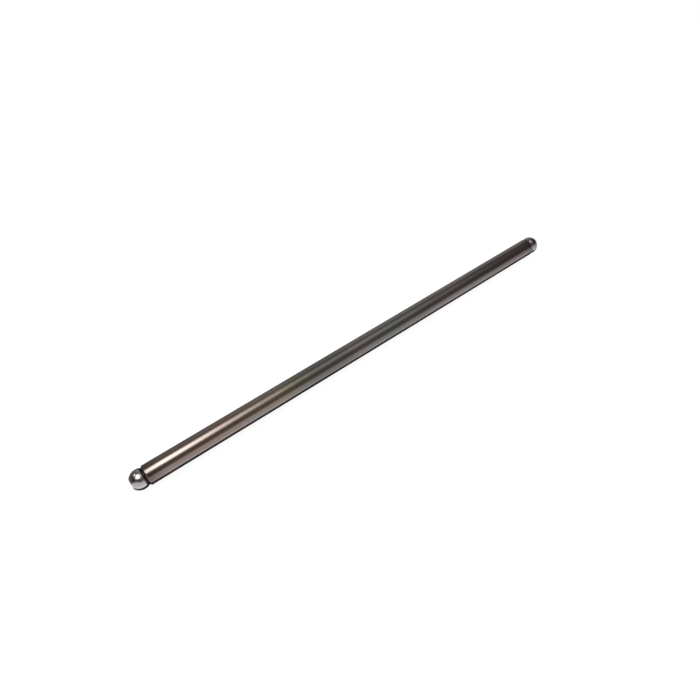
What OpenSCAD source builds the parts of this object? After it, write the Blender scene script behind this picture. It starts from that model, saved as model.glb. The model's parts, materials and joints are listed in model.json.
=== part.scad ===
// Engine pushrod: a ground steel tube with a hardened ball end pressed into each end.
// The rod lies along X, mid-length at the origin. The lifter end is at -X, the rocker end at +X.
// All sizes are in millimetres.

/* [Rod] */
// Length from one tip flat to the other
rod_len = 210.1; // [120:0.1:320]

/* [Tube] */
// Outside diameter of the tube
tube_d = 7.94; // [7:0.01:11]
// Wall thickness of the tube
tube_wall = 2.03; // [1.2:0.01:2.5]
// Chamfer on the outer edge of each tube end
edge_break = 0.45; // [0.05:0.05:0.6]
// Chamfer at each mouth of the bore, which leads the shank in
bore_lead = 0.3; // [0.1:0.05:0.6]

/* [Ball ends] */
// Diameter of the ball
ball_d = 7.8; // [6.5:0.1:10]
// Distance from the ball's centre back to the tube's end face
ball_stand = 2.05; // [1.5:0.05:3]
// Diameter of the flat on the tip
tip_flat_d = 4; // [2.8:0.1:5]
// Width of the relief groove between the ball and the tube
groove_w = 0.45; // [0.2:0.05:1]
// Depth of the relief groove, below the back edge of the ball
groove_depth = 0.15; // [0.1:0.05:0.8]
// Length of the shank inside the tube
shank_len = 9; // [4:0.5:20]
// Chamfer on the inner end of the shank
shank_lead = 0.5; // [0.1:0.1:0.8]
// Radial clearance between the shank and the bore
shank_clear = 0.02; // [0:0.01:0.1]

/* [Oil passage] */
// Diameter of the oil hole through each ball end
oil_d = 2; // [1:0.1:2.4]
// Diameter of the countersunk mouth of the oil hole
oil_mouth_d = 2.7; // [2.5:0.1:3.2]

/* [Hidden] */
$fn = 96;
tube_color = "#6b5f57";
ball_color = "#b8b7b3";

tube_r = tube_d / 2;
bore_r = tube_r - tube_wall;
ball_r = ball_d / 2;
oil_r = oil_d / 2;
mouth_r = oil_mouth_d / 2;
shank_r = bore_r - shank_clear;

// Places along a ball end, measured from the ball's centre
tip_reach = sqrt(ball_r ^ 2 - (tip_flat_d / 2) ^ 2);
ball_back = ball_stand - groove_w;
shank_end = ball_stand + shank_len;
mouth_depth = mouth_r - oil_r;
cut_past = ball_d;

// The groove's floor lies below the edge at which the sphere is cut off
neck_r = sqrt(ball_r ^ 2 - ball_back ^ 2) - groove_depth;

// Places along the rod, measured from mid-length
ball_x = rod_len / 2 - tip_reach;
tube_x = ball_x - ball_stand;

// Lathe-turned tube: half section of [radius, height], turned about the axis
module tube() {
    color(tube_color)
    rotate([0, 90, 0])
    rotate_extrude()
    polygon([
        [bore_r + bore_lead, -tube_x],
        [tube_r - edge_break, -tube_x],
        [tube_r, edge_break - tube_x],
        [tube_r, tube_x - edge_break],
        [tube_r - edge_break, tube_x],
        [bore_r + bore_lead, tube_x],
        [bore_r, tube_x - bore_lead],
        [bore_r, bore_lead - tube_x],
    ]);
}

// True sphere, cut flat at the tip and again behind its centre where the groove starts
module ball() {
    intersection() {
        sphere(d = ball_d);
        translate([0, 0, -ball_back])
        cylinder(d = 2 * ball_d, h = ball_back + tip_reach);
    }
}

// Neck at the groove's floor, shoulder against the tube's end face, and the shank in the bore
module neck_and_shank() {
    rotate_extrude()
    polygon([
        [0, 0],
        [neck_r, 0],
        [neck_r, -ball_stand],
        [shank_r, -ball_stand],
        [shank_r, shank_lead - shank_end],
        [shank_r - shank_lead, -shank_end],
        [0, -shank_end],
    ]);
}

// Oil hole right through, with a 45 degree countersink at the tip
module oil_passage() {
    rotate_extrude()
    polygon([
        [0, -shank_end - cut_past],
        [oil_r, -shank_end - cut_past],
        [oil_r, tip_reach - mouth_depth],
        [mouth_r, tip_reach],
        [mouth_r, tip_reach + cut_past],
        [0, tip_reach + cut_past],
    ]);
}

// One ball end with the ball's centre at the origin and its tip towards +Z
module ball_end() {
    color(ball_color)
    difference() {
        union() {
            ball();
            neck_and_shank();
        }
        oil_passage();
    }
}

// Ball end set into one end of the tube: side is -1 for the lifter end, 1 for the rocker end
module set_ball_end(side) {
    translate([side * ball_x, 0, 0])
    rotate([0, side * 90, 0])
    ball_end();
}

module lifter_ball_end() {
    set_ball_end(-1);
}

module rocker_ball_end() {
    set_ball_end(1);
}

tube();
lifter_ball_end();
rocker_ball_end();
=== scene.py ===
import json
import math

import bmesh
import bpy
from bpy.props import FloatProperty, FloatVectorProperty, IntProperty, PointerProperty
from mathutils import Matrix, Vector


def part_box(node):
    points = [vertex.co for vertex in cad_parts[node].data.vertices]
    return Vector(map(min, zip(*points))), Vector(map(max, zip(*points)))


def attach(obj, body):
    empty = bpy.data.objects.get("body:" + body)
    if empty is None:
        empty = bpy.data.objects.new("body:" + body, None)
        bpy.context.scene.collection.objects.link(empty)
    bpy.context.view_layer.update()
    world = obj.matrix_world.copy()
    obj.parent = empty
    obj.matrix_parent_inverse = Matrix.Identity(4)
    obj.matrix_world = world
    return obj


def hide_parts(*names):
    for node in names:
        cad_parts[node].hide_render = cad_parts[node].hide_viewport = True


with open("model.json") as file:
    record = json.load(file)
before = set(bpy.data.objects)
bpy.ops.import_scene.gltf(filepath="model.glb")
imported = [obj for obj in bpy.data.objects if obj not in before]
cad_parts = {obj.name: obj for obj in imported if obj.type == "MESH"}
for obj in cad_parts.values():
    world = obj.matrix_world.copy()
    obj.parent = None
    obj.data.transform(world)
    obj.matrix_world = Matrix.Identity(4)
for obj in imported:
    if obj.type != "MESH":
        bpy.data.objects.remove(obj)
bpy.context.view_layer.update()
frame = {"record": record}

bl_info = {
    "name": "Engine Pushrod",
    "version": (1, 0, 0),
    "blender": (4, 5, 0),
    "location": "View3D > Sidebar > Pushrod",
    "description": "Turns a ground steel tube and two polished ball ends, and sets them on a white board",
    "category": "Object",
}

MM = 0.001

# Two points closer than this, in metres, are taken as one
SAME_PLACE = 1e-6

# An area light's radiance is its power over four times its area
POWER_PER_RADIANT_AREA = 4

# Sockets of a Mix node for colours. They go by number, because several share a name
MIX_FACTOR = 0
MIX_A = 6
MIX_B = 7
MIX_RESULT = 2

MOUNTS = {mount["name"]: mount for mount in frame["record"]["mounts"]}
BALL_X = MOUNTS["rocker_seat"]["pos_m"][0]
TUBE_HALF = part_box("tube")[1][0]
TIP_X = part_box("rocker_ball_end")[1][0]
SHANK_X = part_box("rocker_ball_end")[0][0]


def mount_radius(name):
    """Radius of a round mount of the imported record, in metres."""
    return MOUNTS[name]["dims"]["r_mm"] * MM


def linear(hex_colour):
    """Linear RGBA of an sRGB hex colour such as #7f7f7f."""
    channels = [int(hex_colour[i:i + 2], 16) / 255 for i in (1, 3, 5)]
    return tuple(c / 12.92 if c <= 0.04045 else ((c + 0.055) / 1.055) ** 2.4 for c in channels) + (1.0,)


def dimmed(hex_colour, level):
    """Linear RGBA of an sRGB hex colour, with its light cut to a level between 0 and 1."""
    return tuple(level * c for c in linear(hex_colour)[:3]) + (1.0,)


def length(name, description, default):
    """A size in metres that a user can change."""
    return FloatProperty(
        name=name, description=description, default=default, min=0.0, unit="LENGTH", precision=5
    )


def colour(name, description, hex_colour):
    """A surface colour that a user can change."""
    return FloatVectorProperty(
        name=name,
        description=description,
        default=linear(hex_colour),
        size=4,
        subtype="COLOR",
        min=0.0,
        max=1.0,
    )


class PushrodSizes(bpy.types.PropertyGroup):
    """Sizes of the rod's turned pieces."""

    tube_radius: length("Tube radius", "Outside radius of the ground tube", mount_radius("tube_body"))
    tube_half: length("Tube half length", "From mid-length to the tube's end face", TUBE_HALF)
    tube_wall: length("Tube wall", "Wall thickness of the tube", 2.03 * MM)
    edge_break: length("Edge break", "Chamfer on the outer edge of each tube end", 0.45 * MM)
    bore_lead: length("Bore lead", "Chamfer at each mouth of the bore", 0.3 * MM)
    ball_radius: length("Ball radius", "Radius of each ball", mount_radius("rocker_seat"))
    ball_place: length("Ball place", "From mid-length to the ball's centre", BALL_X)
    tip_place: length("Tip place", "From mid-length to the flat on the tip", TIP_X)
    groove_width: length("Groove width", "Relief groove between the ball and the tube", 0.45 * MM)
    groove_depth: length("Groove depth", "Depth of the groove below the ball's back edge", 0.15 * MM)
    shank_place: length("Shank place", "From mid-length to the inner end of the shank", SHANK_X)
    shank_lead: length("Shank lead", "Chamfer on the inner end of the shank", 0.5 * MM)
    shank_clearance: length("Shank clearance", "Radial clearance between shank and bore", 0.02 * MM)
    oil_radius: length("Oil hole radius", "Radius of the oil holes", mount_radius("rocker_oil_hole"))
    mouth_radius: length("Oil mouth radius", "Radius of the countersunk mouth of the oil hole", 1.35 * MM)
    rounding: length("Edge rounding", "Radius on the turned edges", 0.06 * MM)
    steps: IntProperty(name="Steps", description="Faces round a turned piece", default=192, min=24)


class PushrodFinish(bpy.types.PropertyGroup):
    """Colours of the steels and of the board."""

    rose_straw: colour("Rose straw", "Heat tint over the lifter end's quarter", "#a39590")
    straw: colour("Straw", "Heat tint inward of the rose straw", "#a0968f")
    olive_straw: colour("Olive straw", "Edge of the straw tint", "#918d84")
    plain_grey: colour("Plain grey", "Tube steel just short of mid-length", "#858380")
    rose_grey: colour("Rose grey", "Faint band at mid-length", "#928a88")
    sage_grey: colour("Sage grey", "Faint band past mid-length", "#8b8b88")
    olive_grey: colour("Olive grey", "Tube steel between the bands of the rocker end's half", "#8d8a87")
    pale_straw: colour("Pale straw", "Faint second tint band", "#98918c")
    mauve_grey: colour("Mauve grey", "Tube steel at the rocker end", "#938987")
    ball_steel: colour("Ball steel", "Polished hardened steel", "#d3cfd0")
    # The scale colour also serves as painted shade in the grooves where ball and tube meet
    scale: colour("Hardening scale", "Dark scale left in the relief grooves", "#33302e")
    board: colour("Board", "Matt white board that the rod lies on", "#ffffff")


class PushrodStudio(bpy.types.PropertyGroup):
    """Place of the camera and strength of the lights."""

    camera_place: FloatVectorProperty(
        name="Camera",
        description="Where the camera stands",
        default=(-0.092345, -0.110065, 0.179261),
        subtype="TRANSLATION",
        unit="LENGTH",
    )
    camera_heading: FloatProperty(
        name="Heading",
        description="Turn of the camera from +Y towards +X",
        default=math.radians(37.205),
        subtype="ANGLE",
    )
    camera_pitch: FloatProperty(
        name="Pitch",
        description="Tilt of the camera below the horizon",
        default=math.radians(52.06),
        subtype="ANGLE",
    )
    camera_lens: FloatProperty(
        name="Lens", description="Focal length on a 36 mm sensor", default=27.968, subtype="DISTANCE_CAMERA"
    )
    key_strength: FloatProperty(
        name="Key", description="Radiance of the overhead softbox", default=4.4, min=0.0
    )
    window_strength: FloatProperty(
        name="Window", description="Radiance of the window behind", default=1.5, min=0.0
    )


def add_node(tree, kind, inputs=None, **settings):
    """Adds a node with its settings. Its inputs, by name or number, take values or links."""
    node = tree.nodes.new(kind)
    for name, value in settings.items():
        setattr(node, name, value)
    for socket, value in (inputs or {}).items():
        if isinstance(value, bpy.types.NodeSocket):
            tree.links.new(value, node.inputs[socket])
        else:
            node.inputs[socket].default_value = value
    return node


def ramp_over(tree, value, stops):
    """A colour that follows a value through its (value, colour) stops."""
    start = stops[0][0]
    end = stops[-1][0]
    along = add_node(
        tree, "ShaderNodeMapRange", {"Value": value, "From Min": start, "From Max": end}
    ).outputs["Result"]
    ramp = add_node(tree, "ShaderNodeValToRGB", {"Fac": along})
    elements = ramp.color_ramp.elements
    elements[0].color = stops[0][1]
    elements[-1].color = stops[-1][1]
    for place, tint in stops[1:-1]:
        elements.new((place - start) / (end - start)).color = tint
    return ramp.outputs["Color"]


def new_material(name):
    """An empty node material, its tree and its output node."""
    material = bpy.data.materials.new(name)
    material.use_nodes = True
    tree = material.node_tree
    tree.nodes.clear()
    return material, tree, tree.nodes.new("ShaderNodeOutputMaterial")


# Centreless-ground steel tube, heat tinted in hardening: a dark satin metal whose grinding lines
# run round the tube and draw the highlight out along it. Its tint drifts from rose straw through
# greys to mauve along the length, and darkens towards each end face.
def ground_tube_steel(finish, half_length):
    material, tree, output = new_material("centreless_ground_tube_steel")
    coords = add_node(tree, "ShaderNodeTexCoord").outputs["Object"]
    place = add_node(tree, "ShaderNodeSeparateXYZ", {"Vector": coords}).outputs["X"]

    # Tint zones by their place along the rod. Noise moves their edges by a few millimetres
    drift_size = 14 * MM
    drift_reach = 12 * MM
    drift = add_node(
        tree,
        "ShaderNodeTexNoise",
        {"Vector": coords, "Scale": 1 / drift_size, "Detail": 3.0, "Roughness": 0.6},
    ).outputs["Fac"]
    drifted = add_node(
        tree, "ShaderNodeMath", {0: drift, 1: drift_reach, 2: place}, operation="MULTIPLY_ADD"
    ).outputs[0]
    zones = (
        (-66 * MM, finish.rose_straw),
        (-56 * MM, finish.straw),
        (-44 * MM, finish.straw),
        (-36 * MM, finish.olive_straw),
        (-28 * MM, finish.plain_grey),
        (-14 * MM, finish.plain_grey),
        (-9 * MM, finish.rose_grey),
        (-3 * MM, finish.rose_grey),
        (6 * MM, finish.sage_grey),
        (15 * MM, finish.sage_grey),
        (20 * MM, finish.olive_grey),
        (34 * MM, finish.olive_grey),
        (50 * MM, finish.pale_straw),
        (70 * MM, finish.olive_grey),
        (90 * MM, finish.mauve_grey),
    )
    mean_drift = drift_reach / 2
    zone_tint = ramp_over(tree, drifted, [(x + mean_drift, tint) for x, tint in zones])

    # The tint darkens towards each end face, more at the lifter end
    lifter_darkening_length = 7 * MM
    lifter_darkening_level = 0.6
    rocker_darkening_length = 5 * MM
    rocker_darkening_level = 0.72
    lifter_end_darkening = add_node(
        tree,
        "ShaderNodeMapRange",
        {
            "Value": place,
            "From Min": -half_length,
            "From Max": lifter_darkening_length - half_length,
            "To Min": lifter_darkening_level,
        },
    ).outputs["Result"]
    rocker_end_darkening = add_node(
        tree,
        "ShaderNodeMapRange",
        {
            "Value": place,
            "From Min": half_length,
            "From Max": half_length - rocker_darkening_length,
            "To Min": rocker_darkening_level,
        },
    ).outputs["Result"]
    end_darkening = add_node(
        tree, "ShaderNodeMath", {0: lifter_end_darkening, 1: rocker_end_darkening}, operation="MULTIPLY"
    ).outputs[0]

    # Grinding lines round the tube. The real ones are finer, and these are coarse enough to show
    line_pitch = 0.15 * MM
    line_length = 8 * MM
    line_scale = (1 / line_pitch, 1 / line_length, 1 / line_length)
    lines_at = add_node(
        tree, "ShaderNodeMapping", {"Vector": coords, "Scale": line_scale}
    ).outputs["Vector"]
    lines = add_node(
        tree, "ShaderNodeTexNoise", {"Vector": lines_at, "Scale": 1.0, "Detail": 2.0, "Roughness": 0.6}
    ).outputs["Fac"]
    line_shade = add_node(
        tree,
        "ShaderNodeMapRange",
        {"Value": lines, "From Min": 0.25, "From Max": 0.75, "To Min": 0.88, "To Max": 1.12},
    ).outputs["Result"]
    roughness = add_node(
        tree,
        "ShaderNodeMapRange",
        {"Value": lines, "From Min": 0.25, "From Max": 0.75, "To Min": 0.14, "To Max": 0.21},
    ).outputs["Result"]

    shade = add_node(tree, "ShaderNodeMath", {0: line_shade, 1: end_darkening}, operation="MULTIPLY").outputs[0]
    tint = add_node(
        tree,
        "ShaderNodeMix",
        {MIX_FACTOR: 1.0, MIX_A: zone_tint, MIX_B: shade},
        data_type="RGBA",
        blend_type="MULTIPLY",
    ).outputs[MIX_RESULT]
    around = add_node(tree, "ShaderNodeTangent", direction_type="RADIAL", axis="X").outputs["Tangent"]
    surface = add_node(
        tree,
        "ShaderNodeBsdfPrincipled",
        {
            "Base Color": tint,
            "Metallic": 0.88,
            "Roughness": roughness,
            "Anisotropic": 0.6,
            "Anisotropic Rotation": 0.25,
            "Tangent": around,
        },
    ).outputs["BSDF"]
    tree.links.new(surface, output.inputs["Surface"])
    return material


# Hardened ball steel, ground and polished: a bright neutral mirror with faint lapping lines.
# A dark colour covers the lifter end's relief groove and the back of its ball, and the foot of the
# rocker end's groove: hardening scale, and also painted shade where ball and tube meet. The rocker
# ball's colour is a little darker than the lifter ball's.
def polished_ball_steel(finish, groove_edge):
    material, tree, output = new_material("polished_ball_steel")
    coords = add_node(tree, "ShaderNodeTexCoord").outputs["Object"]
    place = add_node(tree, "ShaderNodeSeparateXYZ", {"Vector": coords}).outputs["X"]

    # Where the polish starts and where it is full, at each end. Short of it the colour is dark scale
    # and painted shade where ball and tube meet
    rocker_start = groove_edge - 0.4 * MM
    rocker_full = groove_edge - 0.2 * MM
    lifter_start = -groove_edge - 0.1 * MM
    lifter_full = -groove_edge - 0.85 * MM
    rocker_polish = add_node(
        tree,
        "ShaderNodeMapRange",
        {"Value": place, "From Min": rocker_start, "From Max": rocker_full},
        interpolation_type="SMOOTHSTEP",
    ).outputs["Result"]
    lifter_polish = add_node(
        tree,
        "ShaderNodeMapRange",
        {"Value": place, "From Min": lifter_start, "From Max": lifter_full},
        interpolation_type="SMOOTHSTEP",
    ).outputs["Result"]
    polish = add_node(
        tree, "ShaderNodeMath", {0: rocker_polish, 1: lifter_polish}, operation="MAXIMUM"
    ).outputs[0]

    # Lapping lines. The real ones are finer, and these are coarse enough to show
    line_pitch = 0.12 * MM
    line_length = 4 * MM
    line_scale = (1 / line_pitch, 1 / line_length, 1 / line_length)
    lines_at = add_node(
        tree, "ShaderNodeMapping", {"Vector": coords, "Scale": line_scale}
    ).outputs["Vector"]
    lines = add_node(
        tree, "ShaderNodeTexNoise", {"Vector": lines_at, "Scale": 1.0, "Detail": 2.0}
    ).outputs["Fac"]
    line_shade = add_node(
        tree,
        "ShaderNodeMapRange",
        {"Value": lines, "From Min": 0.25, "From Max": 0.75, "To Min": 0.94, "To Max": 1.0},
    ).outputs["Result"]
    gloss = add_node(
        tree,
        "ShaderNodeMapRange",
        {"Value": lines, "From Min": 0.2, "From Max": 0.8, "To Min": 0.12, "To Max": 0.2},
    ).outputs["Result"]

    # The rocker ball's colour is darker than the lifter ball's
    lifter_colour_level = 1.0
    rocker_colour_level = 0.72
    colour_level = add_node(
        tree,
        "ShaderNodeMapRange",
        {
            "Value": place,
            "From Min": -groove_edge,
            "From Max": groove_edge,
            "To Min": lifter_colour_level,
            "To Max": rocker_colour_level,
        },
    ).outputs["Result"]
    shade = add_node(tree, "ShaderNodeMath", {0: line_shade, 1: colour_level}, operation="MULTIPLY").outputs[0]
    bright = add_node(
        tree,
        "ShaderNodeMix",
        {MIX_FACTOR: 1.0, MIX_A: finish.ball_steel, MIX_B: shade},
        data_type="RGBA",
        blend_type="MULTIPLY",
    ).outputs[MIX_RESULT]
    # Mixes in the dark scale colour, partly painted shade, towards the grooves
    tint = add_node(
        tree,
        "ShaderNodeMix",
        {MIX_FACTOR: polish, MIX_A: finish.scale, MIX_B: bright},
        data_type="RGBA",
    ).outputs[MIX_RESULT]
    scale_roughness = 0.5
    roughness = add_node(
        tree, "ShaderNodeMapRange", {"Value": polish, "To Min": scale_roughness, "To Max": gloss}
    ).outputs["Result"]
    surface = add_node(
        tree, "ShaderNodeBsdfPrincipled", {"Base Color": tint, "Metallic": 1.0, "Roughness": roughness}
    ).outputs["BSDF"]
    tree.links.new(surface, output.inputs["Surface"])
    return material


# Matt white board, drawn as emission. The camera sees it white with a faint painted shadow. The metal
# sees it with painted light and shade: white before the rod, a painted black shadow under it, a painted
# glow beside it, and painted shade behind it.
def white_board(finish, ball_place):
    material, tree, output = new_material("matt_white_board")
    path = add_node(tree, "ShaderNodeLightPath").outputs
    coords = add_node(tree, "ShaderNodeTexCoord").outputs["Object"]
    spot = add_node(tree, "ShaderNodeSeparateXYZ", {"Vector": coords}).outputs

    # Distance from the line between the two balls' centres, seen from above
    along = add_node(tree, "ShaderNodeMath", {0: spot["X"]}, operation="ABSOLUTE").outputs[0]
    past = add_node(tree, "ShaderNodeMath", {0: along, 1: ball_place}, operation="SUBTRACT").outputs[0]
    past_ball = add_node(tree, "ShaderNodeMath", {0: past, 1: 0.0}, operation="MAXIMUM").outputs[0]
    off = add_node(tree, "ShaderNodeCombineXYZ", {"X": past_ball, "Y": spot["Y"]}).outputs["Vector"]
    distance = add_node(tree, "ShaderNodeVectorMath", {0: off}, operation="LENGTH").outputs["Value"]

    # Painted shadow and glow on the board by that distance: black under the rod, a painted glow full
    # some 11 mm to either side, and dimmer further out
    white = "#fdfbff"
    painted_shadow_and_glow = ramp_over(tree, distance, (
        (5 * MM, dimmed(white, 0.01)),
        (6.7 * MM, dimmed(white, 0.05)),
        (8 * MM, dimmed(white, 0.45)),
        (9.4 * MM, dimmed(white, 0.96)),
        (10.5 * MM, dimmed(white, 1.0)),
        (12.5 * MM, dimmed(white, 1.0)),
        (15 * MM, dimmed(white, 0.87)),
        (19 * MM, dimmed(white, 0.75)),
        (30 * MM, dimmed(white, 0.69)),
    ))

    # Painted shade behind the rod: full from 12 mm behind its axis, and deeper towards the lifter end
    full_shade = 12 * MM
    lifter_side = -100 * MM
    lifter_shade = 0.19
    rocker_side = 60 * MM
    rocker_shade = 0.41
    shade = add_node(
        tree,
        "ShaderNodeMapRange",
        {
            "Value": spot["X"],
            "From Min": lifter_side,
            "From Max": rocker_side,
            "To Min": lifter_shade,
            "To Max": rocker_shade,
        },
    ).outputs["Result"]
    behind = add_node(
        tree,
        "ShaderNodeMapRange",
        {"Value": spot["Y"], "From Min": 0.0, "From Max": full_shade, "To Min": 1.0, "To Max": shade},
        interpolation_type="SMOOTHSTEP",
    ).outputs["Result"]
    mirrored = add_node(
        tree,
        "ShaderNodeMath",
        {0: path["Is Glossy Ray"], 1: path["Is Transmission Ray"]},
        operation="MAXIMUM",
    ).outputs[0]
    # Only reflections see the emission with the painted shadow, glow and shade
    glow = add_node(tree, "ShaderNodeMath", {0: mirrored, 1: behind}, operation="MULTIPLY").outputs[0]
    seen_in_metal = add_node(tree, "ShaderNodeEmission", {"Color": painted_shadow_and_glow, "Strength": glow}).outputs[0]

    # What the camera sees: nearly full white, with a painted shadow from ambient occlusion where the rod
    # hides the sky, and a tenth of the lamps' own light and shadow
    shadow_reach = 7 * MM
    lamp_share = 0.1
    open_sky = add_node(
        tree, "ShaderNodeAmbientOcclusion", {"Distance": shadow_reach}, samples=16
    ).outputs["AO"]
    shadow = add_node(
        tree,
        "ShaderNodeMapRange",
        {"Value": open_sky, "From Min": 0.3, "From Max": 0.8, "To Min": 0.93, "To Max": 0.985},
    ).outputs["Result"]
    plain = add_node(tree, "ShaderNodeEmission", {"Color": finish.board, "Strength": shadow}).outputs[0]
    matt = add_node(tree, "ShaderNodeBsdfDiffuse", {"Color": dimmed("#ffffff", lamp_share)}).outputs[0]
    seen_plain = add_node(tree, "ShaderNodeAddShader", {0: matt, 1: plain}).outputs[0]

    surface = add_node(
        tree, "ShaderNodeMixShader", {0: path["Is Camera Ray"], 1: seen_in_metal, 2: seen_plain}
    ).outputs[0]
    tree.links.new(surface, output.inputs["Surface"])
    material.cycles.emission_sampling = "NONE"
    return material


def turn(bm, section, steps):
    """Turns a half section, a list of vertices joined by edges, round the rod's axis into a closed skin."""
    bmesh.ops.spin(
        bm, geom=section, cent=(0, 0, 0), axis=(1, 0, 0), angle=math.tau, steps=steps, use_merge=True
    )
    bmesh.ops.remove_doubles(bm, verts=bm.verts, dist=SAME_PLACE)
    bmesh.ops.recalc_face_normals(bm, faces=bm.faces)


def chain(bm, points, closed=True, start=None, end=None):
    """Vertices at (place along the axis, radius), joined in order, between two given ones where asked."""
    verts = [bm.verts.new((x, 0, r)) for x, r in points]
    run = ([start] if start else []) + verts + ([end] if end else [])
    edges = [bm.edges.new(pair) for pair in zip(run, run[1:])]
    if closed:
        edges.append(bm.edges.new((run[-1], run[0])))
    return verts + edges


def lies_on(vert, x, r):
    """Whether a vertex lies on the ring at a place along the axis and a radius."""
    off_place = abs(vert.co.x - x)
    off_radius = abs(math.hypot(vert.co.y, vert.co.z) - r)
    return max(off_place, off_radius) < SAME_PLACE


def round_rings(bm, corners, radius):
    """Rounds the ring edges that the given (place, radius) corners of the section made."""
    rings = [
        edge for edge in bm.edges for x, r in corners if all(lies_on(vert, x, r) for vert in edge.verts)
    ]
    bmesh.ops.bevel(
        bm,
        geom=rings,
        offset=radius,
        offset_type="OFFSET",
        affect="EDGES",
        segments=3,
        profile=0.5,
        material=-1,
    )


def finish_piece(bm, name, material, node):
    """Shades the skin, makes it an object at the origin, and sets it in for its CAD node."""
    sharp = math.radians(32)
    square_to_axis = 0.9999
    for face in bm.faces:
        face.smooth = abs(face.normal.x) < square_to_axis
    for edge in bm.edges:
        edge.smooth = len(edge.link_faces) != 2 or edge.calc_face_angle() < sharp
    mesh = bpy.data.meshes.new(name)
    bm.to_mesh(mesh)
    bm.free()
    mesh.materials.append(material)
    piece = bpy.data.objects.new(name, mesh)
    bpy.context.collection.objects.link(piece)
    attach(piece, "root")
    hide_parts(node)


class PUSHROD_OT_tube(bpy.types.Operator):
    """Turn the ground tube with its broken edges and its bore"""

    bl_idname = "pushrod.tube"
    bl_label = "Ground tube"

    def execute(self, context):
        s = context.scene.pushrod_sizes
        bore = s.tube_radius - s.tube_wall
        end = s.tube_half
        outer = s.tube_radius
        half = [
            (end - s.bore_lead, bore),
            (end, bore + s.bore_lead),
            (end, outer - s.edge_break),
            (end - s.edge_break, outer),
        ]
        other = [(-x, r) for x, r in reversed(half)]
        bm = bmesh.new()
        turn(bm, chain(bm, half + other), s.steps)
        outer_corners = half[2:] + other[:2]
        round_rings(bm, outer_corners, s.rounding)

        # A loop just inside each broken edge keeps the long skin's shading straight
        for side in (-1, 1):
            everything = bm.verts[:] + bm.edges[:] + bm.faces[:]
            place = side * (end - 2 * s.edge_break)
            bmesh.ops.bisect_plane(bm, geom=everything, plane_co=(place, 0, 0), plane_no=(1, 0, 0))
        steel = ground_tube_steel(context.scene.pushrod_finish, end)
        finish_piece(bm, "ground_tube", steel, "tube")
        return {"FINISHED"}


class PUSHROD_OT_ball_ends(bpy.types.Operator):
    """Turn the two polished ball ends with their flats, grooves, shanks and oil holes"""

    bl_idname = "pushrod.ball_ends"
    bl_label = "Ball ends"

    def execute(self, context):
        s = context.scene.pushrod_sizes
        steel = polished_ball_steel(context.scene.pushrod_finish, s.tube_half + s.groove_width)
        to_lifter_end = Matrix.Rotation(math.pi, 3, "Z")
        for side, node in ((-1, "lifter_ball_end"), (1, "rocker_ball_end")):
            bm = bmesh.new()
            self.turn_ball_end(bm, s)
            if side < 0:
                bmesh.ops.rotate(bm, verts=bm.verts, cent=(0, 0, 0), matrix=to_lifter_end)
            finish_piece(bm, "polished_" + node, steel, node)
        return {"FINISHED"}

    def turn_ball_end(self, bm, s):
        """Turns the rocker end from its half section: an arc for the ball, then neck, shank and oil hole."""
        reach = s.tip_place - s.ball_place
        back = s.ball_place - s.tube_half - s.groove_width
        flat_radius = math.sqrt(s.ball_radius ** 2 - reach ** 2)
        back_radius = math.sqrt(s.ball_radius ** 2 - back ** 2)
        neck = back_radius - s.groove_depth
        shank = s.tube_radius - s.tube_wall - s.shank_clearance
        mouth_depth = s.mouth_radius - s.oil_radius

        flat_edge = bm.verts.new((s.tip_place, 0, flat_radius))
        sweep = math.atan2(flat_radius, reach) - math.atan2(back_radius, -back)
        bmesh.ops.spin(
            bm,
            geom=[flat_edge],
            cent=(s.ball_place, 0, 0),
            axis=(0, 1, 0),
            angle=sweep,
            steps=s.steps // 4,
        )
        back_edge = min(bm.verts, key=lambda v: v.co.x)
        arc = bm.verts[:] + bm.edges[:]
        corners = [
            (s.ball_place - back, neck),
            (s.tube_half, neck),
            (s.tube_half, shank),
            (s.shank_place + s.shank_lead, shank),
            (s.shank_place, shank - s.shank_lead),
            (s.shank_place, s.oil_radius),
            (s.tip_place - mouth_depth, s.oil_radius),
            (s.tip_place, s.mouth_radius),
        ]
        rest = chain(bm, corners, closed=False, start=back_edge, end=flat_edge)
        turn(bm, arc + rest, s.steps)
        edges = [(s.tip_place, flat_radius), (s.ball_place - back, back_radius), corners[-1]]
        round_rings(bm, edges, s.rounding)


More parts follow.
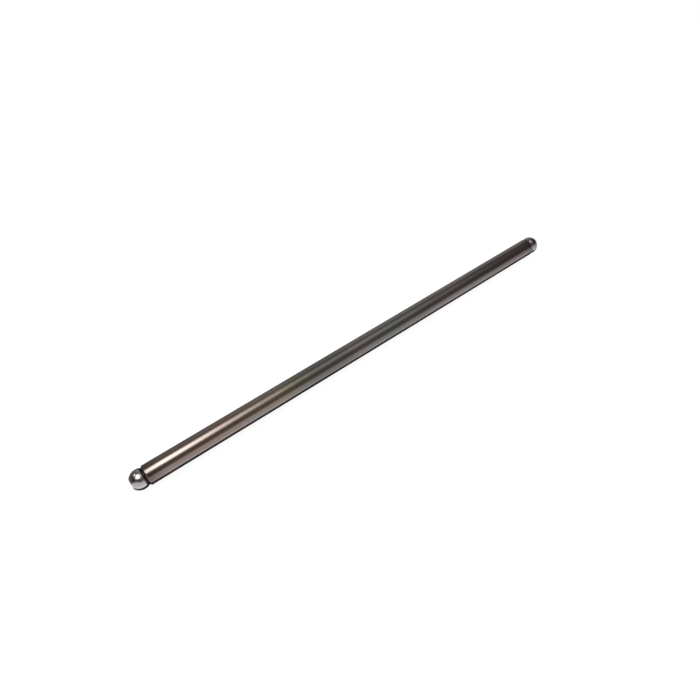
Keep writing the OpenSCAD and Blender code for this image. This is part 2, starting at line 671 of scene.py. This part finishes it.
class PUSHROD_OT_stage(bpy.types.Operator):
    """Lay the white board, light it and set the camera"""

    bl_idname = "pushrod.stage"
    bl_label = "Stage"

    def execute(self, context):
        scene = context.scene
        self.lay_board(scene)
        self.hang_softbox(scene)
        self.open_window(scene)
        self.light_room(scene)
        self.set_camera(scene)
        scene.view_settings.view_transform = "Standard"
        return {"FINISHED"}

    def lay_board(self, scene):
        """Lays a wide board under the rod, at the tube's lowest line."""
        half_width = 3.0
        bm = bmesh.new()
        bmesh.ops.create_grid(bm, x_segments=8, y_segments=8, size=half_width)
        bmesh.ops.translate(bm, verts=bm.verts, vec=(0, 0, -scene.pushrod_sizes.tube_radius))
        mesh = bpy.data.meshes.new("board")
        bm.to_mesh(mesh)
        bm.free()
        mesh.materials.append(white_board(scene.pushrod_finish, scene.pushrod_sizes.ball_place))
        board = bpy.data.objects.new("board", mesh)
        scene.collection.objects.link(board)

    def hang_softbox(self, scene):
        """Hangs a long softbox over the rod, brightest to the left, that fades out to its edges."""
        left = -0.62
        right = 0.7
        front = -0.335
        crest = 0.035
        back = 0.45
        height = 0.64
        lamp = bpy.data.lights.new("softbox", "AREA")
        lamp.shape = "RECTANGLE"
        lamp.size = right - left
        lamp.size_y = back - front
        area = lamp.size * lamp.size_y
        lamp.energy = POWER_PER_RADIANT_AREA * area * scene.pushrod_studio.key_strength
        lamp.color = linear("#fafeff")[:3]
        lamp.use_nodes = True
        tree = lamp.node_tree
        tree.nodes.clear()
        position = add_node(tree, "ShaderNodeNewGeometry").outputs["Position"]
        spot = add_node(tree, "ShaderNodeSeparateXYZ", {"Vector": position}).outputs

        # Light along the box, as shares of the key's radiance
        white = "#ffffff"
        warm = "#fffaf1"
        along = ramp_over(tree, spot["X"], (
            (left, dimmed(white, 0.0)),
            (-0.5, dimmed(white, 0.12)),
            (-0.4, dimmed(white, 0.25)),
            (-0.28, dimmed(white, 0.45)),
            (-0.2, dimmed(white, 0.8)),
            (-0.15, dimmed(white, 1.0)),
            (-0.11, dimmed(white, 0.96)),
            (-0.075, dimmed(white, 0.79)),
            (-0.03, dimmed(white, 0.53)),
            (0.013, dimmed(warm, 0.23)),
            (0.055, dimmed(warm, 0.17)),
            (0.11, dimmed(warm, 0.103)),
            (0.16, dimmed(white, 0.07)),
            (0.28, dimmed(white, 0.093)),
            (0.38, dimmed(white, 0.066)),
            (0.5, dimmed(white, 0.025)),
            (right, dimmed(white, 0.0)),
        ))
        to_front, to_back = (
            add_node(
                tree,
                "ShaderNodeMapRange",
                {"Value": spot["Y"], "From Min": edge, "From Max": crest},
                interpolation_type="SMOOTHSTEP",
            ).outputs["Result"]
            for edge in (front, back)
        )
        across = add_node(tree, "ShaderNodeMath", {0: to_front, 1: to_back}, operation="MULTIPLY").outputs[0]
        shine = add_node(tree, "ShaderNodeEmission", {"Color": along, "Strength": across}).outputs[0]
        add_node(tree, "ShaderNodeOutputLight", {"Surface": shine})
        light = bpy.data.objects.new("softbox", lamp)
        light.location = ((left + right) / 2, (front + back) / 2, height)
        scene.collection.objects.link(light)

    def open_window(self, scene):
        """Opens a small window behind to the left, which puts a second glint on the lifter ball."""
        lamp = bpy.data.lights.new("window", "AREA")
        lamp.shape = "SQUARE"
        lamp.size = 0.24
        lamp.energy = POWER_PER_RADIANT_AREA * lamp.size ** 2 * scene.pushrod_studio.window_strength
        window = bpy.data.objects.new("window", lamp)
        window.location = (-0.44, 0.61, 0.64)
        window.rotation_euler = window.location.to_track_quat("Z", "Y").to_euler()
        scene.collection.objects.link(window)

    def light_room(self, scene):
        """Lights a dim room with a pale low horizon, as the metal sees it.

        The camera sees plain white past the board's edge.
        """
        world = bpy.data.worlds.new("room")
        world.use_nodes = True
        scene.world = world
        tree = world.node_tree
        tree.nodes.clear()
        way = add_node(tree, "ShaderNodeTexCoord").outputs["Generated"]
        parts = add_node(tree, "ShaderNodeSeparateXYZ", {"Vector": way}).outputs

        # Light by the direction's part along the rod, from left to right
        grey = "#fff8ee"
        straw = "#ffe4c0"
        rose = "#ffdacc"
        cool = "#e0fbff"
        white = "#ffffff"
        walls = ramp_over(tree, parts["X"], (
            (-0.7, dimmed(grey, 0.04)),
            (-0.25, dimmed(grey, 0.055)),
            (0.0, dimmed(straw, 0.1)),
            (0.12, dimmed(straw, 0.145)),
            (0.24, dimmed(straw, 0.17)),
            (0.35, dimmed(grey, 0.158)),
            (0.46, dimmed(grey, 0.15)),
            (0.55, dimmed(rose, 0.115)),
            (0.6, dimmed(rose, 0.07)),
            (0.66, dimmed(rose, 0.035)),
        ))
        front_colour = ramp_over(tree, parts["X"], (
            (0.0, dimmed(white, 0.6)),
            (0.25, dimmed(white, 0.54)),
            (0.4, dimmed(white, 0.46)),
            (0.7, dimmed(white, 0.44)),
        ))
        back_colour = ramp_over(tree, parts["X"], (
            (-0.6, dimmed(cool, 0.05)),
            (0.0, dimmed(cool, 0.12)),
            (0.7, dimmed(white, 0.35)),
        ))

        # Height above the horizon, taken square to the rod. The front horizon rises to the left
        square_to_rod = (0.0, 1.0, 1.0)
        leftward_rise = 0.5
        squared = add_node(
            tree, "ShaderNodeVectorMath", {0: way, 1: square_to_rod}, operation="MULTIPLY"
        ).outputs["Vector"]
        across = add_node(tree, "ShaderNodeVectorMath", {0: squared}, operation="NORMALIZE").outputs["Vector"]
        height = add_node(tree, "ShaderNodeSeparateXYZ", {"Vector": across}).outputs["Z"]
        leftward = add_node(tree, "ShaderNodeMath", {0: parts["X"], 1: 0.0}, operation="MINIMUM").outputs[0]
        front_height = add_node(
            tree, "ShaderNodeMath", {0: leftward, 1: leftward_rise, 2: height}, operation="MULTIPLY_ADD"
        ).outputs[0]

        # Each side's horizon is full below its foot and gone above its top, and the sides blend
        front_foot = 0.22
        front_top = 0.53
        back_foot = 0.42
        back_top = 0.86
        blend = 0.1
        low_front = add_node(
            tree,
            "ShaderNodeMapRange",
            {"Value": front_height, "From Min": front_top, "From Max": front_foot},
        ).outputs["Result"]
        low_back = add_node(
            tree, "ShaderNodeMapRange", {"Value": height, "From Min": back_top, "From Max": back_foot}
        ).outputs["Result"]
        front = add_node(
            tree,
            "ShaderNodeMix",
            {MIX_FACTOR: 1.0, MIX_A: front_colour, MIX_B: low_front},
            data_type="RGBA",
            blend_type="MULTIPLY",
        ).outputs[MIX_RESULT]
        back = add_node(
            tree,
            "ShaderNodeMix",
            {MIX_FACTOR: 1.0, MIX_A: back_colour, MIX_B: low_back},
            data_type="RGBA",
            blend_type="MULTIPLY",
        ).outputs[MIX_RESULT]
        side = add_node(
            tree, "ShaderNodeMapRange", {"Value": parts["Y"], "From Min": -blend, "From Max": blend}
        ).outputs["Result"]
        horizon = add_node(
            tree, "ShaderNodeMix", {MIX_FACTOR: side, MIX_A: front, MIX_B: back}, data_type="RGBA"
        ).outputs[MIX_RESULT]
        light = add_node(
            tree,
            "ShaderNodeMix",
            {MIX_FACTOR: 1.0, MIX_A: walls, MIX_B: horizon},
            data_type="RGBA",
            blend_type="ADD",
        ).outputs[MIX_RESULT]

        lit = add_node(tree, "ShaderNodeBackground", {"Color": light}).outputs[0]
        plain = add_node(tree, "ShaderNodeBackground", {"Color": scene.pushrod_finish.board}).outputs[0]
        seen = add_node(tree, "ShaderNodeLightPath").outputs["Is Camera Ray"]
        sky = add_node(tree, "ShaderNodeMixShader", {0: seen, 1: lit, 2: plain}).outputs[0]
        add_node(tree, "ShaderNodeOutputWorld", {"Surface": sky})

    def set_camera(self, scene):
        """Sets the camera where the photograph was taken from."""
        studio = scene.pushrod_studio
        lens = bpy.data.cameras.new("camera")
        lens.lens = studio.camera_lens
        lens.sensor_width = 36
        lens.clip_start = 0.01
        camera = bpy.data.objects.new("camera", lens)
        camera.location = studio.camera_place
        camera.rotation_euler = (math.pi / 2 - studio.camera_pitch, 0, -studio.camera_heading)
        scene.collection.objects.link(camera)
        scene.camera = camera


class PUSHROD_PT_panel(bpy.types.Panel):
    """Sizes, finishes and pieces of the pushrod"""

    bl_idname = "PUSHROD_PT_panel"
    bl_label = "Engine pushrod"
    bl_space_type = "VIEW_3D"
    bl_region_type = "UI"
    bl_category = "Pushrod"

    def draw(self, context):
        scene = context.scene
        for group in (scene.pushrod_sizes, scene.pushrod_finish, scene.pushrod_studio):
            box = self.layout.box()
            for name in group.__annotations__:
                box.prop(group, name)
        for operator in (PUSHROD_OT_stage, PUSHROD_OT_tube, PUSHROD_OT_ball_ends):
            self.layout.operator(operator.bl_idname)


GROUPS = {
    "pushrod_sizes": PushrodSizes,
    "pushrod_finish": PushrodFinish,
    "pushrod_studio": PushrodStudio,
}
CLASSES = (*GROUPS.values(), PUSHROD_OT_tube, PUSHROD_OT_ball_ends, PUSHROD_OT_stage, PUSHROD_PT_panel)


def register():
    for cls in CLASSES:
        bpy.utils.register_class(cls)
    for name, group in GROUPS.items():
        setattr(bpy.types.Scene, name, PointerProperty(type=group))


def unregister():
    for name in GROUPS:
        delattr(bpy.types.Scene, name)
    for cls in reversed(CLASSES):
        bpy.utils.unregister_class(cls)


def main():
    register()
    bpy.ops.pushrod.stage()
    bpy.ops.pushrod.tube()
    bpy.ops.pushrod.ball_ends()


if __name__ == "__main__":
    main()
